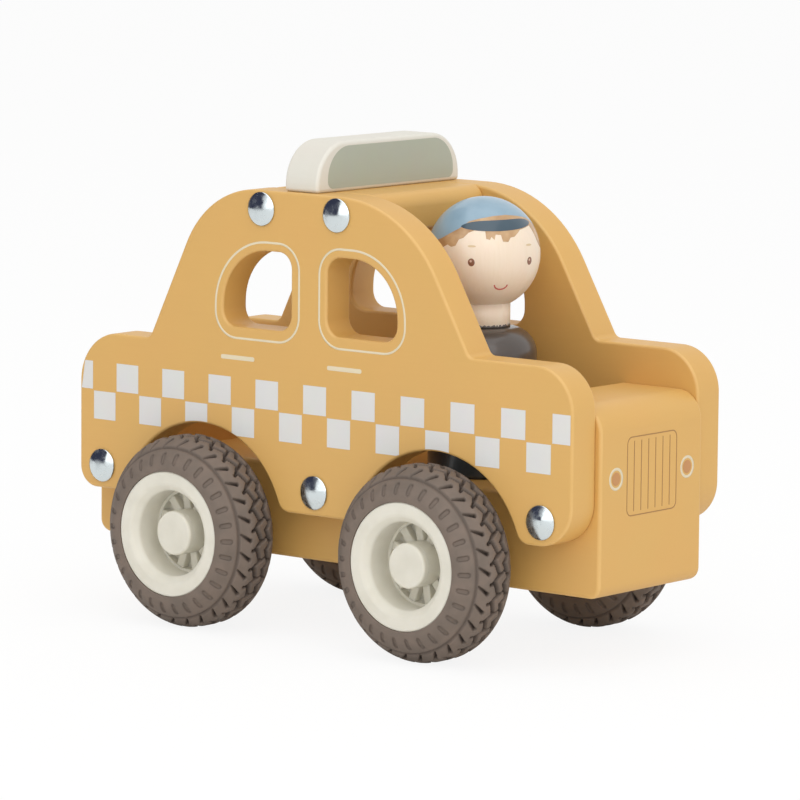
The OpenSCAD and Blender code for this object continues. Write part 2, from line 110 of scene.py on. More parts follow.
def sprayed_paint(name, colour, rub_and_highlight, roughness):
    """Two-part paint sprayed on sanded beech: an even satin film that lets the grain show faintly
    as lines along the board, has a slight orange peel, and is paler along the rounded edges, partly
    rubbed paint and partly a painted highlight where the edges catch the light."""
    material, tree, place = start_material(name)
    # The grain is 0.7 mm wide and runs 17.5 mm along the car, clouds in the film are 18 mm across
    # and its orange peel 1.6 mm.
    along = add_node(tree, "Mapping", {"Scale": (1 / (17.5 * MM), 1 / (0.7 * MM), 1 / (0.7 * MM))}, place)
    grain = add_node(
        tree, "TexNoise", {"Scale": 1.0, "Detail": 3.0, "Roughness": 0.6, "Distortion": 0.3},
        {"Vector": (along, "Vector")},
    )
    clouds = add_node(tree, "TexNoise", {"Scale": 1 / (18 * MM), "Detail": 4.0}, place)
    peel = add_node(tree, "TexNoise", {"Scale": 1 / (1.6 * MM), "Detail": 1.0}, place)
    shade = add_node(
        tree, "Mix", {"data_type": "RGBA", "blend_type": "MULTIPLY", 0: 0.05, 6: linear(colour)},
        {7: (clouds, "Color")},
    )
    grained = add_node(
        tree, "Mix", {"data_type": "RGBA", "blend_type": "SOFT_LIGHT", 0: 0.035},
        {6: (shade, 2), 7: (grain, "Fac")},
    )
    # The edge attribute carries the paler edge line, partly rubbed paint and partly a painted highlight.
    edge = add_node(tree, "Attribute", {"attribute_name": "edge"})
    edge_patches = add_node(
        tree, "MapRange", {"From Min": 0.25, "From Max": 0.75, "To Min": 0.15, "To Max": 0.6},
        {"Value": (clouds, "Fac")},
    )
    edge_rub_and_highlight = add_node(tree, "Math", {"operation": "MULTIPLY"}, {0: (edge, "Fac"), 1: (edge_patches, "Result")})
    film = add_node(
        tree, "Mix", {"data_type": "RGBA", 7: linear(rub_and_highlight)}, {0: (edge_rub_and_highlight, "Value"), 6: (grained, 2)}
    )
    finish_material(
        tree, {}, {"Base Color": (film, 2)}, (clouds, roughness - 0.05, roughness + 0.07),
        (grain, 0.1, 0.05 * MM), (peel, 0.12, 0.05 * MM),
    )
    return material


# Its second colour is the paler edge line: partly rubbed paint, partly a painted highlight.
ochre_paint = sprayed_paint("ochre_paint_sprayed_on_beech", "#DCAD61", "#EFC888", 0.47)


def rounded_outline(corners, step=math.radians(4)):
    """A closed outline through corners of two places and a radius, each rounded to its radius."""
    outline = []
    count = len(corners)
    for i in range(count):
        before, corner, after = (Vector(corners[k % count][:2]) for k in (i - 1, i, i + 1))
        radius = corners[i][2]
        if radius == 0:
            outline.append(corner)
            continue
        u = (before - corner).normalized()
        v = (after - corner).normalized()
        half = math.acos(max(-1, min(1, u.dot(v)))) / 2
        centre = corner + (u + v).normalized() * radius / math.sin(half)
        start = corner + u * radius / math.tan(half) - centre
        end = corner + v * radius / math.tan(half) - centre
        turn = math.atan2(start.x * end.y - start.y * end.x, start.dot(end))
        pieces = max(1, math.ceil(abs(turn) / step))
        for k in range(pieces + 1):
            outline.append(centre + Matrix.Rotation(turn * k / pieces, 2) @ start)
    return outline


def rounded_box(low, high, radii, step=math.radians(4)):
    """A rectangle between two corners, with a radius for each corner from the low one on round."""
    across = (low[0], high[0], high[0], low[0])
    upright = (low[1], low[1], high[1], high[1])
    return rounded_outline(list(zip(across, upright, radii)), step)


def as_mesh(shape, name):
    """A finished shape as a mesh, with its faces turned outwards."""
    bmesh.ops.recalc_face_normals(shape, faces=shape.faces)
    mesh = bpy.data.meshes.new(name)
    shape.to_mesh(mesh)
    shape.free()
    return mesh


weld = 0.002 * MM


def board(name, outlines, thickness, edge_r, stand):
    """A board cut to the outlines, with its edges rounded over; stand places it in the car.
    Its own X and Y are the outline's, and its Z runs through the thickness."""
    curve = bpy.data.curves.new(name, "CURVE")
    curve.dimensions = "2D"
    curve.fill_mode = "BOTH"
    curve.extrude = thickness / 2 - edge_r
    curve.bevel_depth = edge_r
    curve.bevel_resolution = 3
    curve.offset = -edge_r
    for outline in outlines:
        spline = curve.splines.new("POLY")
        spline.points.add(len(outline) - 1)
        for point, place in zip(spline.points, outline):
            point.co = (place[0], place[1], 0, 1)
        spline.use_cyclic_u = True
    holder = bpy.data.objects.new(name, curve)
    bpy.context.scene.collection.objects.link(holder)
    bpy.context.view_layer.update()
    sawn = bpy.data.meshes.new_from_object(holder.evaluated_get(bpy.context.evaluated_depsgraph_get()))
    shape = bmesh.new()
    shape.from_mesh(sawn)
    bpy.data.objects.remove(holder)
    bpy.data.meshes.remove(sawn)
    bmesh.ops.remove_doubles(shape, verts=shape.verts, dist=weld)
    # The paint is paler most in the middle of each rounded edge: partly rubbed, partly a painted highlight
    # where the edge catches the light.
    rub_and_highlight = shape.verts.layers.float.new("edge")
    for vert in shape.verts:
        depth = thickness / 2 - abs(vert.co.z)
        vert[rub_and_highlight] = max(0.0, 1 - abs(2 * depth / edge_r - 1))
    mesh = as_mesh(shape, name)
    mesh.transform(stand)
    return mesh


def show(name, mesh, material, body, slot, *nodes, level=True):
    """A finished piece: it gets its material, rides on its body and stands for its CAD nodes.
    With level its flat faces stay flat beside their rounded edges."""
    piece = bpy.data.objects.new(name, mesh)
    bpy.context.scene.collection.objects.link(piece)
    mesh.materials.clear()
    mesh.materials.append(material)
    mesh.polygons.foreach_set("use_smooth", [True] * len(mesh.polygons))
    if level:
        piece.modifiers.new("flat_faces", "WEIGHTED_NORMAL").weight = 90
    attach(piece, body)
    if nodes:
        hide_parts(*nodes)


def facing_y(y, way=-1):
    """Stands an outline drawn in X and Z at a place along Y. Its third axis points along Y with
    way 1, and against it with way -1."""
    return Matrix(((1, 0, 0, 0), (0, 0, way, y), (0, 1, 0, 0), (0, 0, 0, 1)))


def show_core(name, node, low, high, radii, edge_r):
    """A painted piece between the panels, with rounded corners in its outline seen from the side."""
    mesh = board(node, [rounded_box(low.xz, high.xz, radii)], high.y - low.y, edge_r, facing_y(0))
    show(name, mesh, ochre_paint, "car", "ochre_painted_wood", node)


beam_low, beam_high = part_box("chassis_beam")
core_edge_r = 1.0 * MM
joint_line = 0.15 * MM
# The eased ends of the beam lie inside the blocks, so the glued joint shows only as a fine line.
lap = Vector((core_edge_r - joint_line, 0, 0))
show_core("beam", "chassis_beam", beam_low - lap, beam_high + lap, [core_edge_r] * 4, core_edge_r)


# Nose and tail blocks
# Two beech blocks across the ends of the car, glued to the beam on dowels and fixed through the
# panels. The bonnet and boot edges are rounded over on a spindle moulder before painting.

block_edge_r = 7.5 * MM
block_foot_r = 3.5 * MM
nose_low, nose_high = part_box("nose_block")
nose_radii = [core_edge_r, block_foot_r, block_edge_r, core_edge_r]
show_core("nose", "nose_block", nose_low - lap, nose_high, nose_radii, core_edge_r)
tail_low, tail_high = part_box("tail_block")
tail_radii = [block_foot_r, core_edge_r, core_edge_r, block_edge_r]
show_core("tail", "tail_block", tail_low, tail_high + lap, tail_radii, core_edge_r)


# Roof board
# A short beech board between the panels with both ends rounded over, drilled on its edges for the
# domed pins and on top for the sign's dowels.

roof_low, roof_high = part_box("roof_board")
roof_edge_r = 4.0 * MM
roof_ease_r = 0.8 * MM
roof_radii = [roof_ease_r, roof_ease_r, roof_edge_r, roof_edge_r]
show_core("roof", "roof_board", roof_low, roof_high, roof_radii, roof_ease_r)


# Side panels
# Each side is one 10 mm board sawn to the car's outline with its two windows, routed with a small
# round all along the edges, sprayed, and held by five domed pins.

panel_edge_r = 0.8 * MM
boot_len = 25.4 * MM
boot_rise = 57.0 * MM
bonnet_len = 33.8 * MM
bonnet_rise = 60.7 * MM
rear_slope = math.radians(64.2)
screen_slope = math.radians(60.4)
boot_r = 13.8 * MM
bonnet_r = 11.8 * MM
roof_rear_r = 27.8 * MM
roof_front_r = 37.5 * MM
cab_foot_r = 2.5 * MM
sill_tail_r = 5.7 * MM
sill_nose_r = 11.0 * MM
arch_end_r = 4.0 * MM
arch_gap = 2.8 * MM

sides = {"right": -1, "left": 1}
axles = {joint["name"].split("_")[0]: Vector(joint["pos_m"]) for joint in frame["joints"][:2]}
tyre_low, tyre_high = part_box("front_left_tyre")
tyre_r = (tyre_high.x - tyre_low.x) / 2
arch_r = tyre_r + arch_gap
panel_low, panel_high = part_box("right_panel")
panel_t = panel_high.y - panel_low.y
boot_z = beam_low.z + boot_rise
bonnet_z = beam_low.z + bonnet_rise


def arc(centre, r, start, end, step=math.radians(4)):
    """Points from one angle round to another."""
    pieces = max(1, math.ceil(abs(end - start) / step))
    angles = [start + (end - start) * k / pieces for k in range(pieces + 1)]
    return [Vector(centre) + r * Vector((math.cos(a), math.sin(a))) for a in angles]


def arch_run(axle):
    """The sill's line over one wheel, with the rounded corners on both sides of the arch."""
    rise = panel_low.z + arch_end_r - axle.z
    reach = arch_r + arch_end_r
    tilt = math.asin(rise / reach)
    away = reach * math.cos(tilt)
    return (
        arc(axle.xz + Vector((-away, rise)), arch_end_r, -math.pi / 2, -tilt)
        + arc(axle.xz, arch_r, math.pi - tilt, tilt)
        + arc(axle.xz + Vector((away, rise)), arch_end_r, math.pi + tilt, 3 * math.pi / 2)
    )


screen_foot_x = panel_high.x - bonnet_len
screen_top_x = screen_foot_x - (panel_high.z - bonnet_z) / math.tan(screen_slope)
rear_foot_x = panel_low.x + boot_len
rear_top_x = rear_foot_x + (panel_high.z - boot_z) / math.tan(rear_slope)
upper_outline = rounded_outline([
    (panel_high.x, panel_low.z, sill_nose_r),
    (panel_high.x, bonnet_z, bonnet_r),
    (screen_foot_x, bonnet_z, cab_foot_r),
    (screen_top_x, panel_high.z, roof_front_r),
    (rear_top_x, panel_high.z, roof_rear_r),
    (rear_foot_x, boot_z, cab_foot_r),
    (panel_low.x, boot_z, boot_r),
    (panel_low.x, panel_low.z, sill_tail_r),
])
panel_outline = upper_outline + arch_run(axles["rear"]) + arch_run(axles["front"])

window_w = 23.8 * MM
window_h = 21.0 * MM
window_rise = 62.5 * MM
pillar_w = 12.4 * MM
pillar_x = -3.225 * MM
window_sweep_r = 15.2 * MM
window_r = 4.5 * MM


def window_outline(way, grow=0.0):
    """One window, before the pillar with way 1 and behind it with way -1, grown by a margin."""
    near = pillar_x + way * (pillar_w / 2 - grow)
    far = pillar_x + way * (pillar_w / 2 + window_w + grow)
    low = beam_low.z + window_rise - grow
    high = beam_low.z + window_rise + window_h + grow
    radii = [r + grow for r in (window_r, window_r, window_sweep_r, window_r)]
    return rounded_box((near, low), (far, high), radii)


panel_outlines = [panel_outline] + [window_outline(way) for way in (-1, 1)]
for side in sides:
    low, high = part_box(f"{side}_panel")
    panel_mesh = board(f"{side}_panel", panel_outlines, panel_t, panel_edge_r, facing_y((low.y + high.y) / 2))
    show(f"{side}_side", panel_mesh, ochre_paint, "car", "ochre_painted_wood", f"{side}_panel")


# Prints on the side panels
# Screen-printed ink: a two-row checker band, a line round each window and a bar for each door
# handle. The ink lies on the paint as a film with crisp edges.

def printed_ink(name, colour, roughness):
    """Screen or pad ink on paint: a thin even film, matt, with a faint cloudiness and fine marks."""
    material, tree, place = start_material(name)
    # Clouds 6 mm across and the screen's mesh, 0.4 mm, drawn a little coarser than real so it shows.
    clouds = add_node(tree, "TexNoise", {"Scale": 1 / (6 * MM), "Detail": 5.0}, place)
    marks = add_node(tree, "TexNoise", {"Scale": 1 / (0.4 * MM), "Detail": 1.0}, place)
    film = add_node(
        tree, "Mix", {"data_type": "RGBA", "blend_type": "MULTIPLY", 0: 0.07, 6: linear(colour)},
        {7: (clouds, "Color")},
    )
    finish_material(
        tree, {}, {"Base Color": (film, 2)}, (clouds, roughness - 0.06, roughness + 0.06),
        (marks, 0.08, 0.03 * MM),
    )
    return material


white_ink = printed_ink("white_ink_screen_printed", "#DEDDDA", 0.5)
cream_ink = printed_ink("cream_ink_screen_printed", "#E6D8B8", 0.5)
ink_t = 0.05 * MM
ink_sink = 0.2 * MM


def join_loops(shape, low, high):
    """Faces all round between two loops of points, where either can be a single pole."""
    for k in range(max(len(low), len(high))):
        turn = ((low, k - 1), (low, k), (high, k), (high, k - 1))
        corners = list(dict.fromkeys(loop[i % len(loop)] for loop, i in turn))
        if len(corners) > 2:
            shape.faces.new(corners)


def print_on_car(name, ink, slot, stand, shapes=(), rings=()):
    """Ink on a flat face as a thin closed film: filled shapes, and rings between two lines.
    Outlines are drawn in a plane whose third axis points out of the printed face."""
    film = bmesh.new()
    for outline in shapes:
        top = [film.verts.new((p[0], p[1], ink_t)) for p in outline]
        low = [film.verts.new((p[0], p[1], -ink_sink)) for p in outline]
        film.faces.new(top)
        film.faces.new(reversed(low))
        join_loops(film, low, top)
    for outer, inner in rings:
        loops = [
            [film.verts.new((p[0], p[1], z)) for p in line]
            for line, z in ((outer, ink_t), (inner, ink_t), (inner, -ink_sink), (outer, -ink_sink))
        ]
        for before, loop in zip(loops[-1:] + loops, loops):
            join_loops(film, before, loop)
    mesh = as_mesh(film, name)
    mesh.transform(stand)
    if stand.determinant() < 0:
        mesh.flip_normals()
    show(name, mesh, ink, "car", slot)


checker_pitch = 8.333 * MM
checker_row = 8.16 * MM
checker_start_x = -88.325 * MM
checker_mid_z = 60.4 * MM
checker_columns = 21
checker_gap = 0.22 * MM
checker_steps = 8
print_margin = 0.7 * MM
arch_margin = 0.5 * MM


def checker_square(column, row):
    """One white square, cut where the band runs off the board's ends or over a wheel arch."""
    left = checker_start_x + column * checker_pitch + checker_gap
    right = min(left + checker_pitch - 2 * checker_gap, panel_high.x - print_margin)
    low = checker_mid_z + checker_gap - row * checker_row
    high = low + checker_row - 2 * checker_gap
    points = []
    for k in range(checker_steps + 1):
        x = left + (right - left) * k / checker_steps
        floor = low
        for axle in axles.values():
            room = (arch_r + arch_margin) ** 2 - (x - axle.x) ** 2
            floor = max(floor, axle.z + math.sqrt(max(0.0, room)))
        points.append(Vector((x, floor)))
    points += [Vector((right, high)), Vector((left, high))]
    for point in points:
        lift = max(0.0, point.y - (boot_z - boot_r))
        edge_x = panel_low.x + boot_r - math.sqrt(boot_r ** 2 - lift ** 2) + print_margin
        point.x = max(point.x, edge_x)
    return points


checker = [checker_square(column, column % 2) for column in range(checker_columns)]
line_w = 0.6 * MM
line_margin = 2.4 * MM
# The print sits a little low and forward of the windows.
line_shift = Vector((0.25, -0.35)) * MM
window_lines = [
    [[p + line_shift for p in window_outline(way, grow)] for grow in (line_margin + line_w, line_margin)]
    for way in (-1, 1)
]
handle_len = 11.8 * MM
handle_h = 1.2 * MM
handle_r = 0.45 * handle_h
handle_z = 73.6 * MM
handles_x = (-27.825 * MM, 9.275 * MM)


def handle_outline(x):
    """One door handle's bar, with its ends rounded."""
    low = (x - handle_len / 2, handle_z - handle_h / 2)
    high = (x + handle_len / 2, handle_z + handle_h / 2)
    return rounded_box(low, high, [handle_r] * 4, math.radians(15))


handles = [handle_outline(x) for x in handles_x]


def outer_face(side):
    """The place along Y of a panel's outer face."""
    return sides[side] * max(abs(corner.y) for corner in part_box(f"{side}_panel"))


for side, way in sides.items():
    stand = facing_y(outer_face(side), way)
    print_on_car(f"{side}_checker", white_ink, "cream_painted_wood", stand, checker)
    print_on_car(f"{side}_window_lines", cream_ink, "cream_painted_wood", stand, handles, window_lines)


# Prints on the nose
# The grille is drawn with fine brown lines inside a rounded frame, and each lamp is an amber dot
# in a cream ring, all printed on the flat front of the nose block.

brown_ink = printed_ink("brown_ink_fine_printed", "#A97C45", 0.5)
amber_ink = printed_ink("amber_ink_pad_printed", "#C68D55", 0.45)
grille_w = 21.7 * MM
grille_low_z = 40.0 * MM
grille_high_z = 60.8 * MM
grille_r = 2.0 * MM
fine_line = 0.28 * MM
bar_count = 7
bar_trim = 1.2 * MM
lamp_y = 15.5 * MM
lamp_z = 50.4 * MM
lamp_ring_r = 3.0 * MM
lamp_ring_w = 0.75 * MM
lamp_dot_r = 1.75 * MM


def facing_x(x, way=1):
    """Stands an outline drawn in Y and Z at a place along X, its third axis along X or against it."""
    return Matrix(((0, 0, way, x), (1, 0, 0, 0), (0, 1, 0, 0), (0, 0, 0, 1)))


def grille_box(y_low, y_high, trim, radius=0):
    """A box of the grille between two places across the nose, trimmed at its foot and its top."""
    low, high = (y_low, grille_low_z + trim), (y_high, grille_high_z - trim)
    return rounded_box(low, high, [radius] * 4, math.radians(10))


def lamp_circles(r):
    """A circle round the middle of each lamp."""
    full_turn = (0, 2 * math.pi, math.radians(10))
    return [arc((way * lamp_y, lamp_z), r, *full_turn)[:-1] for way in (-1, 1)]


bars_y = [grille_w * (k / bar_count - 0.5) for k in range(1, bar_count)]
bars = [grille_box(y - fine_line / 2, y + fine_line / 2, bar_trim) for y in bars_y]
grille_frame = [
    grille_box(trim - grille_w / 2, grille_w / 2 - trim, trim, grille_r - trim) for trim in (0, fine_line)
]
lamp_rings = list(zip(lamp_circles(lamp_ring_r), lamp_circles(lamp_ring_r - lamp_ring_w)))
nose_stand = facing_x(nose_high.x)
print_on_car("grille_print", brown_ink, "ochre_painted_wood", nose_stand, bars, [grille_frame])
print_on_car("lamp_rings", cream_ink, "cream_painted_wood", nose_stand, rings=lamp_rings)
print_on_car("lamp_dots", amber_ink, "ochre_painted_wood", nose_stand, lamp_circles(lamp_dot_r))


# Roof sign
# A beech block with broadly rounded upper corners, painted cream, on two hidden dowels. Its front
# and back each carry a plain sage field of screen ink.

# Its second colour is the paler edge line: partly rubbed paint, partly a painted highlight.
cream_paint = sprayed_paint("cream_paint_sprayed_on_beech", "#E1DDD2", "#ECE8DF", 0.5)
sage_ink = printed_ink("sage_ink_screen_printed", "#B1B6A7", 0.6)
sign_low, sign_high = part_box("roof_sign")
sign_r = 11.5 * MM
sign_edge_r = 1.0 * MM
sign_outline = rounded_box(sign_low.yz, sign_high.yz, [sign_edge_r, sign_edge_r, sign_r, sign_r])
sign_stand = facing_x((sign_low.x + sign_high.x) / 2)
sign_mesh = board("roof_sign", [sign_outline], sign_high.x - sign_low.x, sign_edge_r, sign_stand)
show("sign", sign_mesh, cream_paint, "car", "cream_painted_wood", "roof_sign")

field_inset_low = Vector((4.2, 1.0)) * MM
field_inset_high = Vector((2.9, 1.3)) * MM
field_foot_r = 2.0 * MM
field_r = 8.6 * MM
field = rounded_box(
    sign_low.yz + field_inset_low, sign_high.yz - field_inset_high,
    [field_foot_r, field_foot_r, field_r, field_r],
)
for face, face_x, way in (("front", sign_high.x, 1), ("back", sign_low.x, -1)):
    print_on_car(f"sign_{face}_field", sage_ink, "cream_painted_wood", facing_x(face_x, way), [field])


# Domed pins
# Nickel-plated steel pins with polished low domed heads, driven through the panels into the wood
# behind. Only the heads show.

def lathe(name, profile, segments, closed=False):
    """A turned shape from a profile of radius and height, with poles where the radius is zero."""
    shape = bmesh.new()
    turns = [2 * math.pi * k / segments for k in range(segments)]
    rings = []
    for r, z in profile:
        spots = [(r * math.cos(a), r * math.sin(a), z) for a in turns] if r > 0 else [(0, 0, z)]
        rings.append([shape.verts.new(spot) for spot in spots])
    for low, high in zip(rings, rings[1:] + rings[:1] if closed else rings[1:]):
        join_loops(shape, low, high)
    return as_mesh(shape, name)


def polished_nickel():
    """Bright nickel plate on steel, barrel polished: a mirror with a slight haze and fine handling
    scratches."""
    material, tree, place = start_material("nickel_plated_steel_polished")
    # Haze patches 2 mm across. Scratches 3 mm long, and 0.15 mm wide so that they show.
    haze = add_node(tree, "TexNoise", {"Scale": 1 / (2 * MM), "Detail": 4.0}, place)
    aslant = add_node(
        tree, "Mapping",
        {"Rotation": (0.3, 0.9, 0.4), "Scale": (1 / (0.15 * MM), 1 / (3 * MM), 1 / (3 * MM))}, place,
    )
    scratches = add_node(tree, "TexNoise", {"Scale": 1.0, "Detail": 2.0}, {"Vector": (aslant, "Vector")})
    finish_material(
        tree, {"Metallic": 1.0, "Base Color": linear("#D2DADC")}, {}, (haze, 0.11, 0.34),
        (scratches, 0.1, 0.02 * MM), spread=(0.38, 0.68),
    )
    return material


def outwards(place, way):
    """Stands a piece turned about its own Z at a place, Z pointing out of one side of the car."""
    return Matrix.Translation(place) @ Matrix.Rotation(-way * math.pi / 2, 4, "X")


nickel = polished_nickel()
dome_h = 1.5 * MM
dome_steps = 14
rim_h = 0.45 * MM
under_cut = 0.2 * MM
shank_r = 2.0 * MM
tail_pin_inset = 8.4 * MM
nose_pin_inset = 9.824 * MM
mid_pin_x = -0.725 * MM
roof_pin_inset = 6.5 * MM
pins_x = {
    "sill": [panel_low.x + tail_pin_inset, mid_pin_x, panel_high.x - nose_pin_inset],
    "roof": [roof_low.x + roof_pin_inset, roof_high.x - roof_pin_inset],
}
for side, way in sides.items():
    for row, places in pins_x.items():
        node = f"{side}_{row}_pins"
        low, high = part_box(node)
        dome_r = (high.z - low.z) / 2
        cap_h = dome_h - rim_h
        ball_r = (dome_r ** 2 + cap_h ** 2) / (2 * cap_h)
        spread = math.asin(dome_r / ball_r)
        leans = [spread * k / dome_steps for k in range(dome_steps + 1)]
        profile = [(ball_r * math.sin(a), dome_h - ball_r + ball_r * math.cos(a)) for a in leans]
        shank_end = dome_h - (high.y - low.y)
        profile += [(dome_r, rim_h / 2), (dome_r - under_cut, 0), (shank_r, 0)]
        profile += [(shank_r, shank_end), (0, shank_end)]
        group = bmesh.new()
        for x in places:
            pin = lathe("pin", profile, 64)
            pin.transform(outwards((x, outer_face(side), (low.z + high.z) / 2), way))
            group.from_mesh(pin)
            bpy.data.meshes.remove(pin)
        show(f"{side}_{row}_domes", as_mesh(group, node), nickel, "car", "polished_steel", node)


# Dowels, bushes and axles
# Inner pieces: fluted beech dowels glued between the wooden parts, flanged nylon bushes pressed
# into the beam, and drawn steel axles that turn in them.

def sanded_beech():
    """Bare beech with short dark flecks along the grain, pale and dull."""
    material, tree, place = start_material("beech_bare_sanded")
    # Flecks 0.4 mm wide and 4 mm long.
    along = add_node(tree, "Mapping", {"Scale": (1 / (4 * MM), 1 / (0.4 * MM), 1 / (0.4 * MM))}, place)
    flecks = add_node(tree, "TexNoise", {"Scale": 1.0, "Detail": 3.0}, {"Vector": (along, "Vector")})
    shade = add_node(
        tree, "ValToRGB", links={"Fac": (flecks, "Fac")}, stops=((0.0, "#C9AC7E"), (1.0, "#E6D0A8"))
    )
    finish_material(tree, {}, {"Base Color": (shade, "Color")}, (flecks, 0.7, 0.7), (flecks, 0.2, 0.05 * MM))
    return material


def drawn_steel():
    """Bright drawn rod: lengthwise draw lines, slightly blurred reflections."""
    material, tree, place = start_material("steel_rod_drawn")
    # Draw lines run along the axle, across the car, and are 0.1 mm wide so that they show.
    along = add_node(tree, "Mapping", {"Scale": (1 / (0.1 * MM), 1 / (20 * MM), 1 / (0.1 * MM))}, place)
    lines = add_node(tree, "TexNoise", {"Scale": 1.0, "Detail": 2.0}, {"Vector": (along, "Vector")})
    finish_material(
        tree, {"Metallic": 1.0, "Base Color": linear("#B9BCBE")}, {}, (lines, 0.2, 0.42),
        (lines, 0.1, 0.02 * MM),
    )
    return material


def moulded_plastic(name, colour, shade, roughness, depth, glow):
    """Injection-moulded plastic: a soft sheen with a fine tool texture and faint flow clouds; light
    goes a little way in, so thin edges look warm."""
    material, tree, place = start_material(name)
    # Flow clouds 7 mm across and tool texture 0.35 mm, coarser than real so that it shows.
    clouds = add_node(tree, "TexNoise", {"Scale": 1 / (7 * MM), "Detail": 3.0}, place)
    tool = add_node(tree, "TexNoise", {"Scale": 1 / (0.35 * MM), "Detail": 2.0}, place)
    flow = add_node(
        tree, "ValToRGB", links={"Fac": (clouds, "Fac")}, stops=((0.3, shade), (0.6, colour))
    )
    inside = {"Subsurface Weight": glow, "Subsurface Scale": depth, "Subsurface Radius": (1.0, 0.95, 0.85)}
    finish_material(
        tree, inside, {"Base Color": (flow, "Color")}, (clouds, roughness - 0.06, roughness + 0.08),
        (tool, 0.06, 0.03 * MM),
    )
    return material


def finish_node(node, material):
    """A CAD node that is shown as it is, in its own material."""
    piece = frame["nodes"][node]
    piece.data.materials.clear()
    piece.data.materials.append(material)


beech = sanded_beech()
steel = drawn_steel()
nylon = moulded_plastic("nylon_moulded", "#DCD9D0", "#D2CEC4", 0.5, 0.4 * MM, 0.12)
for node in ("nose_dowels", "tail_dowels", "sign_dowels"):
    finish_node(node, beech)
for end in ("front", "rear"):
    finish_node(f"{end}_bushes", nylon)
    finish_node(f"{end}_axle", steel)


# Wheel hubs and caps
# Cream ABS hubs, moulded in one with a rolled rim, a dished face and twelve ribs, pressed on the
# axle ends. A plugged-in cap covers each axle end.

cream_abs = moulded_plastic("cream_abs_moulded", "#E3DFD2", "#DBD7C9", 0.4, 1.0 * MM, 0.35)
rim_r = 17.0 * MM
rim_edge_r = 0.5 * MM
rim_back_r = 0.8 * MM
seat_r = 15.0 * MM
seat_edge_r = 0.2 * MM
flange_t = 2.5 * MM
lip_r = 13.4 * MM
lip_depth = 1.8 * MM
lip_top_r = 1.8 * MM
lip_foot_r = 1.6 * MM
dish_r = 11.6 * MM
dish_depth = 8.9 * MM
dish_floor_r = 11.4 * MM
dish_edge_r = 0.15 * MM
pocket_r = 10.7 * MM
pocket_depth = 2.6 * MM
pocket_foot_r = 0.4 * MM
web_t = 2.5 * MM
web_fillet_r = 0.8 * MM
boss_r = 6.0 * MM
boss_edge_r = 0.3 * MM
boss_foot_r = 0.6 * MM
bore_r = 2.02 * MM
cap_setback = 2.3 * MM
cap_t = 2.0 * MM
cap_edge_r = 0.7 * MM
cap_back_r = 0.15 * MM
plug_len = 3.0 * MM
plug_r = 3.3 * MM
plug_tip_r = 0.2 * MM
socket_r = plug_r + 0.02 * MM
socket_len = plug_len + 0.3 * MM
crisp_r = 0.05 * MM
rib_t = 2.4 * MM
rib_h = 2.3 * MM
rib_round = 0.4 * MM
rib_count = 12
rib_turn = math.radians(10)

hub_low, hub_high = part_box("front_left_hub")
boss_in = hub_low.y
rim_out = hub_high.y
rim_in = tyre_low.y + (tyre_high.y - rim_out)
dish_out = rim_out - dish_depth
floor_out = dish_out - pocket_depth
floor_in = floor_out - web_t
boss_out = rim_out - cap_setback - cap_t

hub_profile = rounded_outline([
    (bore_r, boss_in, boss_edge_r), (boss_r, boss_in, boss_edge_r), (boss_r, floor_in, web_fillet_r),
    (dish_r, floor_in, web_fillet_r), (dish_r, rim_in, rim_edge_r), (rim_r, rim_in, rim_back_r),
    (rim_r, rim_in + flange_t, seat_edge_r), (seat_r, rim_in + flange_t, seat_edge_r),
    (seat_r, rim_out - flange_t, seat_edge_r), (rim_r, rim_out - flange_t, seat_edge_r),
    (rim_r, rim_out, rim_edge_r), (lip_r, rim_out, lip_top_r), (dish_r, rim_out - lip_depth, lip_foot_r),
    (dish_floor_r, dish_out, dish_edge_r), (pocket_r, dish_out, dish_edge_r),
    (pocket_r, floor_out, pocket_foot_r), (boss_r, floor_out, boss_foot_r), (boss_r, boss_out, crisp_r),
    (socket_r, boss_out, crisp_r), (socket_r, boss_out - socket_len, crisp_r),
    (bore_r, boss_out - socket_len, crisp_r),
], math.radians(12))
hub_mesh = lathe("hub", hub_profile, 128, closed=True)
ribbed = bmesh.new()
ribbed.from_mesh(hub_mesh)
rib_start_share = 0.8
rib_start = rib_start_share * boss_r
rib_len = (pocket_r + seat_r) / 2 - rib_start
rib_spot = Vector((rib_start + rib_len / 2, 0, floor_out + rib_h / 2 - web_t / 4))
rib_place = Matrix.Translation(rib_spot) @ Matrix.Diagonal((rib_len, rib_t, rib_h + web_t / 2, 1))
for k in range(rib_count):
    rib = bmesh.ops.create_cube(ribbed, size=1.0)["verts"]
    turn = Matrix.Rotation(rib_turn + k * 2 * math.pi / rib_count, 4, "Z")
    bmesh.ops.transform(ribbed, matrix=turn @ rib_place, verts=rib)
    edges = list({edge for vert in rib for edge in vert.link_edges})
    bmesh.ops.bevel(ribbed, geom=edges, offset=rib_round, segments=2, profile=0.5, affect="EDGES")
ribbed.to_mesh(hub_mesh)
ribbed.free()

cap_profile = rounded_outline([
    (0, -plug_len, 0), (plug_r, -plug_len, plug_tip_r), (plug_r, 0, crisp_r),
    (boss_r, 0, cap_back_r), (boss_r, cap_t, cap_edge_r), (0, cap_t, 0),
], math.radians(10))
cap_mesh = lathe("cap", cap_profile, 96)
cap_mesh.transform(Matrix.Translation((0, 0, boss_out)))


def fit_wheels(material, slot, *parts):
    """A copy of each turned part on each end of both axles."""
    for end, axle in axles.items():
        for side, way in sides.items():
            for name, mesh, node in parts:
                own = mesh.copy()
                own.transform(outwards(axle, way))
                show(f"{end}_{side}_{name}", own, material, f"{end}_wheels", slot, f"{end}_{side}_{node}")


fit_wheels(cream_abs, "cream_plastic", ("hub_face", hub_mesh, "hub"), ("cap_face", cap_mesh, "cap"))


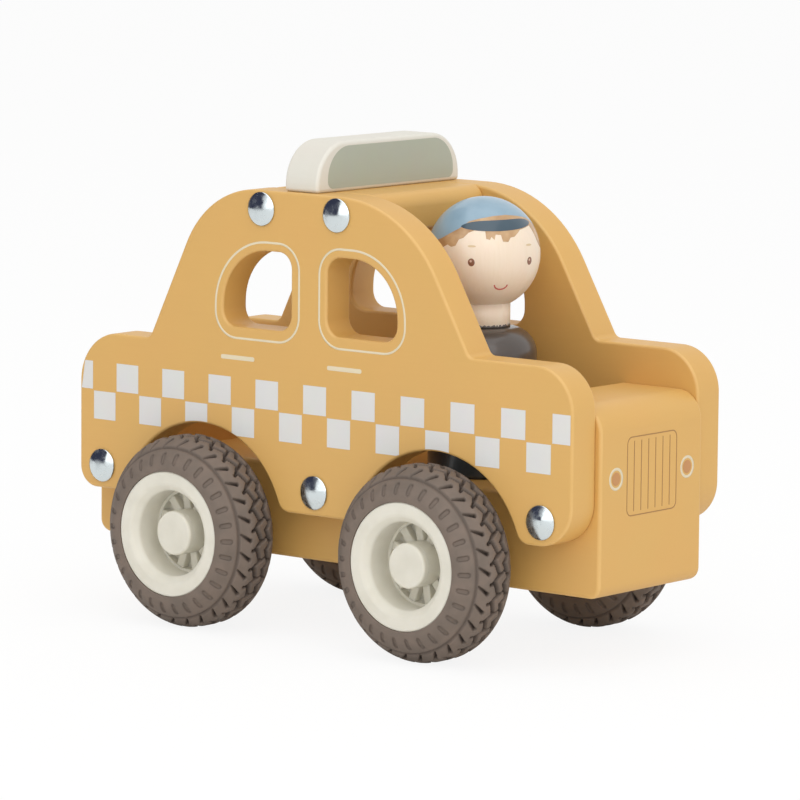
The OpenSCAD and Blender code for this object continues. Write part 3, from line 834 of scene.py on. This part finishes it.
# Tyres
# Solid tyres of brown thermoplastic rubber, stretched over the hubs: radial slots in the sidewall,
# a groove at the shoulder, slanted shoulder cuts and two zigzag grooves round the tread.

def moulded_rubber():
    """Brown rubber from a blasted mould: dull, with dust-pale high spots, and painted shade that darkens its
    grooves.
    """
    material, tree, place = start_material("brown_rubber_moulded")
    # Bloom patches 5 mm across and blasted texture 0.3 mm.
    bloom = add_node(tree, "TexNoise", {"Scale": 1 / (5 * MM), "Detail": 5.0}, place)
    blast = add_node(tree, "TexNoise", {"Scale": 1 / (0.3 * MM), "Detail": 2.0}, place)
    dust = add_node(
        tree, "ValToRGB", links={"Fac": (bloom, "Fac")}, stops=((0.3, "#70645A"), (0.7, "#7D6E63"))
    )
    # The groove attribute carries painted shade, which mixes the grooves towards dark brown #3C322D.
    deep = add_node(tree, "Attribute", {"attribute_name": "groove"})
    groove_shaded = add_node(
        tree, "Mix", {"data_type": "RGBA", 7: linear("#3C322D")}, {0: (deep, "Fac"), 6: (dust, "Color")}
    )
    finish_material(
        tree, {"Specular IOR Level": 0.35}, {"Base Color": (groove_shaded, 2)}, (bloom, 0.58, 0.75),
        (blast, 0.15, 0.04 * MM),
    )
    return material


rubber = moulded_rubber()
tyre_w = tyre_high.y - tyre_low.y
tyre_mid = (tyre_low.y + tyre_high.y) / 2
tread_w = 7.2 * MM
ridge_r = 23.2 * MM
ridge_step = 2.8 * MM
ridge_edge_r = 1.0 * MM
sidewall_r = 19.8 * MM
sidewall_edge_r = 5.0 * MM
shoulder_r = 4.0 * MM
bead_edge_r = 0.15 * MM
lug_count = 30
columns_per_lug = 22
tread_step = 0.27 * MM
bore_step = 1.2 * MM
seen_r = rim_r + 0.1 * MM

bead_z = tyre_w / 2 - (tyre_high.y - rim_out + flange_t)
ridge_z = tyre_w / 2 - ridge_step
half = [
    (seat_r, bead_z, 0), (rim_r, bead_z, 0), (rim_r, tyre_w / 2, bead_edge_r),
    (sidewall_r, tyre_w / 2, sidewall_edge_r), (ridge_r, ridge_z, ridge_edge_r),
    (tyre_r, tread_w / 2, shoulder_r),
]
tyre_line = rounded_outline(half + [(r, -z, fillet) for r, z, fillet in reversed(half)])


def even_rows(line):
    """The same closed line with its long straights cut into even steps, finer where it shows."""
    rows = []
    for here, there in zip(line, line[1:] + line[:1]):
        step = tread_step if max(here.x, there.x) > seen_r else bore_step
        pieces = max(1, round((there - here).length / step))
        rows += [here.lerp(there, k / pieces) for k in range(pieces)]
    return rows


def groove(distance, width, soft=0.14 * MM):
    """How far into a groove a point lies: 1 on its floor, 0 outside, with sloped walls."""
    t = np.clip((width / 2 + soft - distance) / (2 * soft), 0, 1)
    return t * t * (3 - 2 * t)


def apart(x):
    """Distance from the nearest whole number."""
    return np.abs(x - np.round(x))


def past_ends(x, low, high):
    """Distance by which a point lies beyond either end of a span."""
    return np.maximum(np.abs(x - (low + high) / 2) - (high - low) / 2, 0)


rows = even_rows(tyre_line)
row_r = np.array([p.x for p in rows])
row_z = np.array([p.y for p in rows])
out_r = np.roll(row_z, 1) - np.roll(row_z, -1)
out_z = np.roll(row_r, -1) - np.roll(row_r, 1)
out_len = np.hypot(out_r, out_z)
columns = lug_count * columns_per_lug
lug = np.arange(columns)[:, None] / columns_per_lug
lug_len = 2 * math.pi * tyre_r / lug_count
# The inner half of the tread is the outer half turned round, half a lug on.
phase = np.where(row_z > 0, lug, 0.5 - lug)
across = np.abs(row_z)[None, :]
tread_margin = 0.3 * MM
on_tread = (across < ridge_z - tread_margin) & (row_r > ridge_r)[None, :]

# A zigzag groove on each side of the middle: a long slanted stroke and a short one back. A slant
# share turns a distance along the tread or across it into one that is square to a slanted groove.
zig_mid, zig_swing, zig_w, zig_slant_share = 1.85 * MM, 0.85 * MM, 1.2 * MM, 0.9
long_share = 0.68
stroke = phase - np.floor(phase)
there = 2 * stroke / long_share - 1
back_again = 1 - 2 * (stroke - long_share) / (1 - long_share)
swing = np.where(stroke < long_share, there, back_again)
chain = groove(np.abs(across - zig_mid - zig_swing * swing) * zig_slant_share, zig_w)
# From its outer corners a short notch runs back into the shoulder.
notch_in, notch_out, notch_w, notch_lean, notch_slant_share = 2.4 * MM, 3.7 * MM, 0.8 * MM, 0.16, 0.85
reach_out = np.clip((across - notch_in) / (notch_out - notch_in), 0, 1)
notch_side = apart(phase - long_share + notch_lean * reach_out) * lug_len * notch_slant_share
notch = groove(np.hypot(notch_side, past_ends(across, notch_in, notch_out)), notch_w)
# Between the notches a slanted slot comes in over the shoulder, wider and deeper towards the middle.
cut_in, cut_out, cut_lean, cut_start, cut_slant_share = 4.6 * MM, ridge_z - 0.4 * MM, 0.36, 0.41, 0.84
cut_w, cut_flare, cut_shallow_share = 0.55 * MM, 0.35 * MM, 0.4
along = np.clip((cut_out - across) / (cut_out - cut_in), 0, 1)
cut_side = apart(phase - cut_start + cut_lean * along) * lug_len * cut_slant_share
shoulder = groove(np.hypot(cut_side, past_ends(across, cut_in, cut_out)), cut_w + cut_flare * along)
shoulder *= cut_shallow_share + (1 - cut_shallow_share) * along
# A slanted, shallower cut joins the two zigzags across the middle of each lug.
link_w, link_span, link_lean, link_slant_share, link_depth_share = 0.65 * MM, 2.2 * MM, 0.12 / MM, 0.85, 0.8
link_side = apart(lug + link_lean * row_z[None, :]) * lug_len * link_slant_share
link = link_depth_share * groove(link_side, link_w) * groove(across, link_span)
tread_cut = np.maximum.reduce([chain, notch, shoulder, link]) * on_tread

# Short radial slots round the sidewall, and a groove where it meets the shoulder.
slot_r, slot_half, slot_w, slot_soft, wall_margin = 20.45 * MM, 0.85 * MM, 1.2 * MM, 0.2 * MM, 0.5 * MM
on_wall = (across > ridge_z) & (row_r > rim_r + wall_margin)[None, :]
slot_side = apart(lug) * 2 * math.pi * slot_r / lug_count
slot_end = past_ends(row_r, slot_r - slot_half, slot_r + slot_half)[None, :]
wall_cut = groove(np.hypot(slot_side, slot_end), slot_w, slot_soft) * on_wall
ring_w, ring_soft = 0.8 * MM, 0.3 * MM
ring_cut = groove(np.hypot(row_r - ridge_r, np.abs(row_z) - ridge_z), ring_w, ring_soft)[None, :]

tread_depth, slot_depth, ring_depth = 1.5 * MM, 0.5 * MM, 0.45 * MM
depth = tread_depth * tread_cut + slot_depth * wall_cut + ring_depth * ring_cut
# Painted shade darkens the floors of the grooves, the walls of the sidewall's slots, a little the slots'
# floors, and the groove at the shoulder.
slot_walls = 4 * wall_cut * (1 - wall_cut)
tread_shade, wall_shade, slot_shade, ring_shade = 0.95, 0.5, 0.1, 0.5
shadow = tread_shade * tread_cut + wall_shade * slot_walls + slot_shade * wall_cut + ring_shade * ring_cut
shadow = np.clip(shadow, 0, 1)
turn = 2 * math.pi * np.arange(columns)[:, None] / columns
r_grid = row_r[None, :] - depth * (out_r / out_len)[None, :]
z_grid = row_z[None, :] - depth * (out_z / out_len)[None, :] + tyre_mid
points = np.stack([r_grid * np.cos(turn), r_grid * np.sin(turn), z_grid], axis=-1).reshape(-1, 3)
index = np.arange(columns * len(rows)).reshape(columns, len(rows))
ahead, beyond = np.roll(index, -1, axis=0), np.roll(index, -1, axis=1)
faces = np.stack([index, ahead, np.roll(ahead, -1, axis=1), beyond], axis=-1).reshape(-1, 4)
tyre_mesh = bpy.data.meshes.new("tyre")
tyre_mesh.from_pydata(points.tolist(), [], faces.tolist())
# The groove attribute holds the painted shade of the grooves and slots.
groove_shade_layer = tyre_mesh.attributes.new("groove", "FLOAT", "POINT")
groove_shade_layer.data.foreach_set("value", shadow.astype(np.float32).ravel())
skin = bmesh.new()
skin.from_mesh(tyre_mesh)
bmesh.ops.recalc_face_normals(skin, faces=skin.faces)
skin.to_mesh(tyre_mesh)
skin.free()
fit_wheels(rubber, "brown_rubber", ("rubber", tyre_mesh, "tyre"))


# Driver's body
# A peg doll turned from beech, standing loose on the beam. The shirt is brushed on in glossy brown
# grey down to the dark blue trousers.

def brushed_gloss(name, colour, under, roughness, cover=0.5):
    """Gloss enamel brushed on by hand: smooth and wet-looking, with faint brush lines round the
    doll and thinner paint where the brush lifted."""
    material, tree, place = start_material(name)
    # Brush lines 0.5 mm apart, level round the doll, and thin patches 5 mm across.
    level = add_node(tree, "Mapping", {"Scale": (1 / (9 * MM), 1 / (9 * MM), 1 / (0.5 * MM))}, place)
    strokes = add_node(tree, "TexNoise", {"Scale": 1.0, "Detail": 3.0}, {"Vector": (level, "Vector")})
    thin = add_node(tree, "TexNoise", {"Scale": 1 / (5 * MM), "Detail": 4.0}, place)
    film = add_node(
        tree, "ValToRGB", links={"Fac": (thin, "Fac")}, stops=((0.25, under), (cover, colour))
    )
    finish_material(
        tree, {"Coat Weight": 0.35, "Coat Roughness": 0.07}, {"Base Color": (film, "Color")},
        (strokes, roughness - 0.04, roughness + 0.1), (strokes, 0.1, 0.05 * MM),
    )
    return material


shirt_paint = brushed_gloss("shirt_enamel_brushed", "#4E4641", "#584F49", 0.28)
trouser_paint = brushed_gloss("trouser_enamel_brushed", "#36444F", "#3F4D59", 0.3)
doll_low, doll_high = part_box("driver_body")
doll_r = (doll_high.x - doll_low.x) / 2
neck_r = 7.2 * MM
spigot_r = 4.05 * MM
spigot_len = 12.3 * MM
foot_r = 1.0 * MM
waist_z = doll_low.z + 17.0 * MM
doll_axis = Matrix.Translation(((doll_low.x + doll_high.x) / 2, (doll_low.y + doll_high.y) / 2, 0))
bore_end = doll_high.z - spigot_len
doll_line = rounded_outline([
    (0, doll_low.z, 0), (doll_r, doll_low.z, foot_r), (doll_r, doll_high.z, doll_r - neck_r),
    (spigot_r, doll_high.z, 0), (spigot_r, bore_end, 0), (0, bore_end, 0),
], math.radians(5))
waist_at = next(i for i, p in enumerate(doll_line) if p.y > waist_z)
doll_line.insert(waist_at, Vector((doll_r, waist_z)))
doll_mesh = lathe("driver_body", doll_line, 128)
doll_mesh.transform(doll_axis)
show("driver_torso", doll_mesh, shirt_paint, "driver", "shirt_painted_wood", "driver_body")
doll_mesh.materials.append(trouser_paint)
for face in doll_mesh.polygons:
    if face.center.z < waist_z:
        face.material_index = 1


# Driver's head
# A turned beech ball on a short neck, clear varnished so that the pale wood is the skin, with a
# spigot that sits in the body. It is turned part of the way to the car's right.

def varnished_beech():
    """Sanded beech under clear satin varnish: pale warm wood with fine upright grain."""
    material, tree, place = start_material("beech_turned_varnished")
    # Grain lines 0.9 mm wide and 14 mm long, upright in the ball.
    upright = add_node(tree, "Mapping", {"Scale": (1 / (0.9 * MM), 1 / (0.9 * MM), 1 / (14 * MM))}, place)
    grain = add_node(
        tree, "TexNoise", {"Scale": 1.0, "Detail": 4.0, "Distortion": 0.6}, {"Vector": (upright, "Vector")}
    )
    wood = add_node(
        tree, "ValToRGB", links={"Fac": (grain, "Fac")}, stops=((0.2, "#F0DDC6"), (0.6, "#F3E1CC"))
    )
    inside = {"Subsurface Weight": 0.08, "Subsurface Scale": 0.8 * MM}
    finish_material(
        tree, {**inside, "Coat Weight": 0.15, "Coat Roughness": 0.25}, {"Base Color": (wood, "Color")},
        (grain, 0.36, 0.41), (grain, 0.006, 0.04 * MM),
    )
    return material


doll_wood = varnished_beech()
head_low, head_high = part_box("driver_head")
head_r = (head_high.x - head_low.x) / 2
head_z = head_high.z - head_r
head_steps = 60
head_gap = 0.05 * MM
collar_z = doll_high.z
meet = math.asin(neck_r / head_r)
dips = [(math.pi - meet) * k / head_steps for k in range(head_steps + 1)]
head_line = [(head_r * math.sin(a), head_z + head_r * math.cos(a)) for a in dips]
# The neck starts with a ring of its own, so that the crease below the ball stays sharp.
head_line += [(neck_r, head_z - head_r * math.cos(meet)), (neck_r, collar_z + head_gap)]
head_line += [(spigot_r - head_gap, z) for z in (collar_z + head_gap, head_low.z)] + [(0, head_low.z)]
head_mesh = lathe("driver_head", head_line, 128)
head_mesh.transform(doll_axis)
show("driver_ball", head_mesh, doll_wood, "driver_head", "doll_wood", "driver_head")

# The shirt's paint runs a little way up the neck with an uneven edge.
collar_turns = 120
collar_t = 0.06 * MM
collar_h = 0.35 * MM
collar_rough = 0.65 * MM
collar_noise = np.random.default_rng(7).random(collar_turns)
collar = bmesh.new()
collar_loops = []
for outer, upper in ((1, 0), (1, 1), (-1, 1), (-1, 0)):
    r = neck_r + outer * collar_t
    loop = []
    for k, noise in enumerate(collar_noise):
        a = 2 * math.pi * k / collar_turns
        z = collar_z + upper * (collar_h + collar_rough * noise)
        loop.append(collar.verts.new((r * math.cos(a), r * math.sin(a), z)))
    collar_loops.append(loop)
for low, high in zip(collar_loops, collar_loops[1:] + collar_loops[:1]):
    join_loops(collar, low, high)
collar_mesh = as_mesh(collar, "collar_paint")
collar_mesh.transform(doll_axis)
show("driver_collar_paint", collar_mesh, shirt_paint, "driver_head", "shirt_painted_wood", level=False)


# Paint on the head
# Cap, visor, hair and face are brushed and dotted on the bare ball by hand, so each is a thin film
# of enamel that follows the curve, placed by its angle from the middle of the face. The light spot
# in each eye is a painted highlight, drawn as a film like the rest.

face_yaw = math.radians(-31.5)
film_t = 0.06 * MM
film_sink = 0.15 * MM
over_paint = 0.05 * MM
dot_points = 24
seam_turn, seam_height = 179.9, 89.9


def paint_on_head(name, paint, outline, lift=0.0, step=3.0):
    """A film of paint on the ball inside an outline of turn and height angles, in degrees."""
    edge = []
    for here, there in zip(outline, outline[1:] + outline[:1]):
        here, there = Vector(here), Vector(there)
        pieces = max(1, math.ceil((there - here).length / step))
        edge += [here.lerp(there, k / pieces) for k in range(pieces)]
    shape = bmesh.new()
    flat = [shape.verts.new((p.x, p.y, 0)) for p in edge]
    rim = [shape.edges.new((flat[i - 1], flat[i])) for i in range(len(flat))]
    bmesh.ops.triangle_fill(shape, use_beauty=True, use_dissolve=False, edges=rim)
    for axis, span in ((0, (1, 0, 0)), (1, (0, 1, 0))):
        values = [p[axis] for p in edge]
        line = step * math.ceil(min(values) / step)
        while line < max(values):
            bmesh.ops.bisect_plane(
                shape, geom=shape.verts[:] + shape.edges[:] + shape.faces[:],
                plane_co=[line * c for c in span], plane_no=span,
            )
            line += step
    bmesh.ops.triangulate(shape, faces=shape.faces)
    thick = bmesh.ops.extrude_face_region(shape, geom=shape.faces[:])
    raised = {v for v in thick["geom"] if isinstance(v, bmesh.types.BMVert)}
    # Where an outline goes all the way round, its two ends and the crown close on themselves.
    seam = [face for face in shape.faces
            if 0 < sum(v in raised for v in face.verts) < len(face.verts)
            and all(abs(v.co.x) > seam_turn or v.co.y > seam_height for v in face.verts)]
    bmesh.ops.delete(shape, geom=seam, context="FACES")
    for vert in shape.verts:
        turn, height = math.radians(vert.co.x) + face_yaw, math.radians(vert.co.y)
        r = head_r + (film_t + lift if vert in raised else -film_sink)
        level_r = r * math.cos(height)
        vert.co = (level_r * math.cos(turn), level_r * math.sin(turn), head_z + r * math.sin(height))
    bmesh.ops.remove_doubles(shape, verts=shape.verts, dist=weld / 2)
    mesh = as_mesh(shape, name)
    heart = Vector((0, 0, head_z))
    rays = [(vert.co - heart).normalized() for vert in mesh.vertices]
    mesh.polygons.foreach_set("use_smooth", [True] * len(mesh.polygons))
    mesh.normals_split_custom_set_from_vertices(rays)
    mesh.transform(doll_axis)
    show(f"driver_{name}", mesh, paint, "driver_head", "doll_wood", level=False)


def dot(turn, height, wide, high):
    """An oval of angles round a point on the ball."""
    return [(turn + wide * math.cos(a), height + high * math.sin(a))
            for a in (2 * math.pi * k / dot_points for k in range(dot_points))]


cap_paint = brushed_gloss("cap_blue_enamel_brushed", "#8DA9BB", "#84A1B4", 0.3)
visor_paint = brushed_gloss("visor_slate_enamel_brushed", "#374D5B", "#3F5664", 0.3)
hair_paint = brushed_gloss("hair_tan_enamel_brushed", "#B0865A", "#D8B68C", 0.42, 0.62)
brow_paint = brushed_gloss("brow_pale_enamel_dotted", "#DCC096", "#E2C9A4", 0.42)
eye_paint = brushed_gloss("eye_brown_enamel_dotted", "#8A5A42", "#7C4E38", 0.25)
# The light dot in each eye is a painted highlight.
highlight_paint = brushed_gloss("eye_painted_highlight", "#D9B9A4", "#D0AD96", 0.25)
smile_paint = brushed_gloss("smile_red_enamel_lined", "#CF655E", "#C75B55", 0.3)

cap_line = [(-180, 12), (-95, 12), (-72, 18), (-49, 31), (-41, 38.5), (-27, 42.5), (-7, 46), (12, 47),
            (31, 45), (50, 41.5), (60, 36), (72, 26), (95, 14), (180, 12)]


def cap_edge(turn):
    """Height of the cap's lower edge: raised over the visor, lower over the ears and the nape."""
    return float(np.interp(turn, *zip(*cap_line)))


crown = 90.0
cap_outline = [(t, cap_edge(t)) for t in range(-180, 181, 4)] + [(180, crown), (-180, crown)]
paint_on_head("cap", cap_paint, cap_outline, step=4.0)

visor_half, visor_mid, visor_turn, visor_tilt, visor_up, visor_down = 51.0, 34.0, 2.0, 0.03, 6.6, 5.8
upper = [(t, visor_mid + visor_up * (1 - (t / visor_half) ** 4) ** 0.7) for t in range(-50, 51, 4)]
lower = [(t, visor_mid - visor_down * (1 - (t / visor_half) ** 2) ** 0.6) for t in range(50, -51, -4)]
visor = [(-visor_half, visor_mid)] + upper + [(visor_half, visor_mid)] + lower
visor = [(t + visor_turn, height + visor_tilt * t) for t, height in visor]
paint_on_head("visor", visor_paint, visor[::-1], lift=over_paint)

# The hair reaches a little way under the cap, so that no wood shows between them.
tuck = 1.0
hair_lift = -0.02 * MM
fringe_dips = [
    (-61, 12.5), (-56, 10.5), (-51, 12), (-48, 18.5), (-43, 20.5), (-38, 26), (-31, 29), (-19, 28),
    (-18, 20), (-14, 19), (-12.5, 22), (-9, 19), (-7.5, 24.5), (-1.5, 24), (0, 17), (6, 16.5),
    (9.5, 21), (14.5, 21.5), (25, 28.5), (47, 32), (51.5, 19), (55, 12), (61, 8),
]
fringe_top = [(t, cap_edge(t) + tuck) for t in range(61, -62, -2)]
paint_on_head("fringe", hair_paint, fringe_dips + fringe_top, hair_lift)
nape_height, nape_wave, nape_tufts = 4, 6, 3
nape = [
    (t, nape_height + nape_wave * abs(math.sin(math.radians(nape_tufts * t)))) for t in range(67, 294, 6)
]
under_cap = [(t, cap_edge(t if t <= 180 else t - 360) + tuck) for t in range(299, 60, -2)]
paint_on_head("back_hair", hair_paint, [(61, 8)] + nape + [(299, 12.5)] + under_cap, hair_lift)

eye_turn, eye_height, eye_wide, eye_high = 33.0, -4.0, 3.5, 4.0
# The painted highlight sits a little up and to the same side in both eyes.
spark_in, spark_up, spark_wide, spark_high = 0.6, 1.2, 1.1, 1.2
brow_turn, brow_height, brow_wide, brow_high = 33.0, 12.2, 4.4, 1.1
for name, way in (("left", 1), ("right", -1)):
    eye = dot(way * eye_turn, eye_height, eye_wide, eye_high)
    paint_on_head(f"eye_{name}", eye_paint, eye, step=2.0)
    spark = dot(way * eye_turn - spark_in, eye_height + spark_up, spark_wide, spark_high)
    paint_on_head(f"spark_{name}", highlight_paint, spark, over_paint, 2.0)
    brow = dot(way * brow_turn, brow_height, brow_wide, brow_high)
    paint_on_head(f"brow_{name}", brow_paint, brow, step=2.0)

smile_half, smile_drop, smile_height, smile_w = 7.8, 5.6, -28.4, 1.6
smile = []
for way in (-1, 1):
    wide, deep = smile_half - way * smile_w / 2, smile_drop - way * smile_w / 2
    bend = [math.radians(a) for a in range(0, 181, 12)]
    smile += [(way * wide * math.cos(a), smile_height - deep * math.sin(a)) for a in bend]
paint_on_head("smile", smile_paint, smile, step=2.0)


# Floor, light and camera
# A white paper sweep under soft studio light: a large box overhead, a second to the right of the
# camera and an even surround, with a dark flag and a white card that only the polished domes see.

def flat_sheet(name, width, height, material):
    """A single flat face round its own middle."""
    mesh = bpy.data.meshes.new(name)
    corners = [(x * width / 2, y * height / 2, 0) for x, y in ((-1, -1), (1, -1), (1, 1), (-1, 1))]
    mesh.from_pydata(corners, [], [(0, 1, 2, 3)])
    mesh.materials.append(material)
    return mesh


def mix_in_white(tree, lit, white, looked_at, mirrored):
    """Shows white in place of the lit shader, by one share to the eye and another in mirrors."""
    path = add_node(tree, "LightPath")
    seen = add_node(
        tree, "Math", {"operation": "ADD"}, {0: (path, "Is Camera Ray"), 1: (path, "Is Transmission Ray")}
    )
    direct = add_node(tree, "Math", {"operation": "MULTIPLY", 1: looked_at}, {0: (seen, "Value")})
    share = add_node(
        tree, "Math", {"operation": "MULTIPLY_ADD", 1: mirrored},
        {0: (path, "Is Glossy Ray"), 2: (direct, "Value")},
    )
    mixed = add_node(tree, "MixShader", links={0: (share, "Value"), 1: (lit, 0), 2: (white, 0)})
    return {"Surface": (mixed, "Shader")}


sweep = 24.0
floor_white, floor_mirrored = 0.88, 0.2
room_strength = 0.765
paper, tree = start_material("white_paper_sweep")[:2]
sheet = add_node(tree, "BsdfDiffuse", {"Color": linear("#FCFCFB")})
glow = add_node(tree, "Emission", {"Color": linear("#FFFFFF"), "Strength": 1.0})
add_node(tree, "OutputMaterial", links=mix_in_white(tree, sheet, glow, floor_white, floor_mirrored))
floor = bpy.data.objects.new("floor", flat_sheet("floor", sweep, sweep, paper))
bpy.context.scene.collection.objects.link(floor)

world = bpy.data.worlds.new("studio")
bpy.context.scene.world = world
world.use_nodes = True
tree = world.node_tree
tree.nodes.clear()
room = add_node(tree, "Background", {"Color": linear("#FFFFFF"), "Strength": room_strength})
backdrop = add_node(tree, "Background", {"Color": linear("#FFFFFF"), "Strength": 1.0})
add_node(tree, "OutputWorld", links=mix_in_white(tree, room, backdrop, 1.0, 1.0))


def set_up(name, data, place, aim, front):
    """Stands a lamp or a card at a place, its front axis towards the aim."""
    item = bpy.data.objects.new(name, data)
    item.location = place
    item.rotation_euler = (Vector(aim) - Vector(place)).to_track_quat(front, "Y").to_euler()
    bpy.context.scene.collection.objects.link(item)
    return item


def soft_box(name, place, aim, size, power):
    """A lamp behind a diffuser, with its size in metres and its power in watts."""
    lamp = bpy.data.lights.new(name, "AREA")
    lamp.shape = "RECTANGLE"
    lamp.size, lamp.size_y = size
    lamp.energy = power
    set_up(name, lamp, place, aim, "-Z")


def mirror_card(name, place, aim, size, colour, strength):
    """A card that only mirrors see: it puts the studio around the camera into the polished domes."""
    material, tree = start_material(name)[:2]
    shine = add_node(tree, "Emission", {"Color": linear(colour), "Strength": strength})
    add_node(tree, "OutputMaterial", links={"Surface": (shine, "Emission")})
    card = set_up(name, flat_sheet(name, *size, material), place, aim, "Z")
    card.visible_camera = card.visible_diffuse = card.visible_transmission = card.visible_shadow = False


soft_box("overhead", (0.1, -0.2, 1.2), (0, 0, 0.05), (1.2, 1.2), 3.3)
soft_box("front", (0.97, -0.94, 0.85), (0, 0, 0.06), (1.2, 1.2), 5.7)
mirror_card("black_flag", (-1.1, -0.48, 1.2), (0, 0, 1.2), (2.4, 2.4), "#3E4052", 1.0)
mirror_card("white_card", (0.0, -1.5, 0.9), (0, 0, 0.9), (1.15, 1.7), "#FFFFFF", 1.7)

# The camera stands where the photograph was taken from.
view_azimuth = math.radians(39.046)
view_height = math.radians(7.534)
view_roll = math.radians(0.530)
view_distance = 1393.9 * MM
view_target = Vector((14.655, -15.28, 64.43)) * MM
focal_pixels = 5250.0
photo_pixels = 800.0
camera_data = bpy.data.cameras.new("camera")
camera_data.sensor_width = 36.0
camera_data.lens = camera_data.sensor_width * focal_pixels / photo_pixels
camera_data.clip_end = 100.0
camera = bpy.data.objects.new("camera", camera_data)
bpy.context.scene.collection.objects.link(camera)
turned = Matrix.Rotation(view_azimuth, 4, "Z") @ Matrix.Rotation(math.pi / 2 - view_height, 4, "X")
rolled = Matrix.Rotation(view_roll, 4, "Z")
camera.matrix_world = (
    Matrix.Translation(view_target) @ turned @ rolled @ Matrix.Translation((0, 0, view_distance))
)
bpy.context.scene.camera = camera
bpy.context.scene.view_settings.view_transform = "Standard"
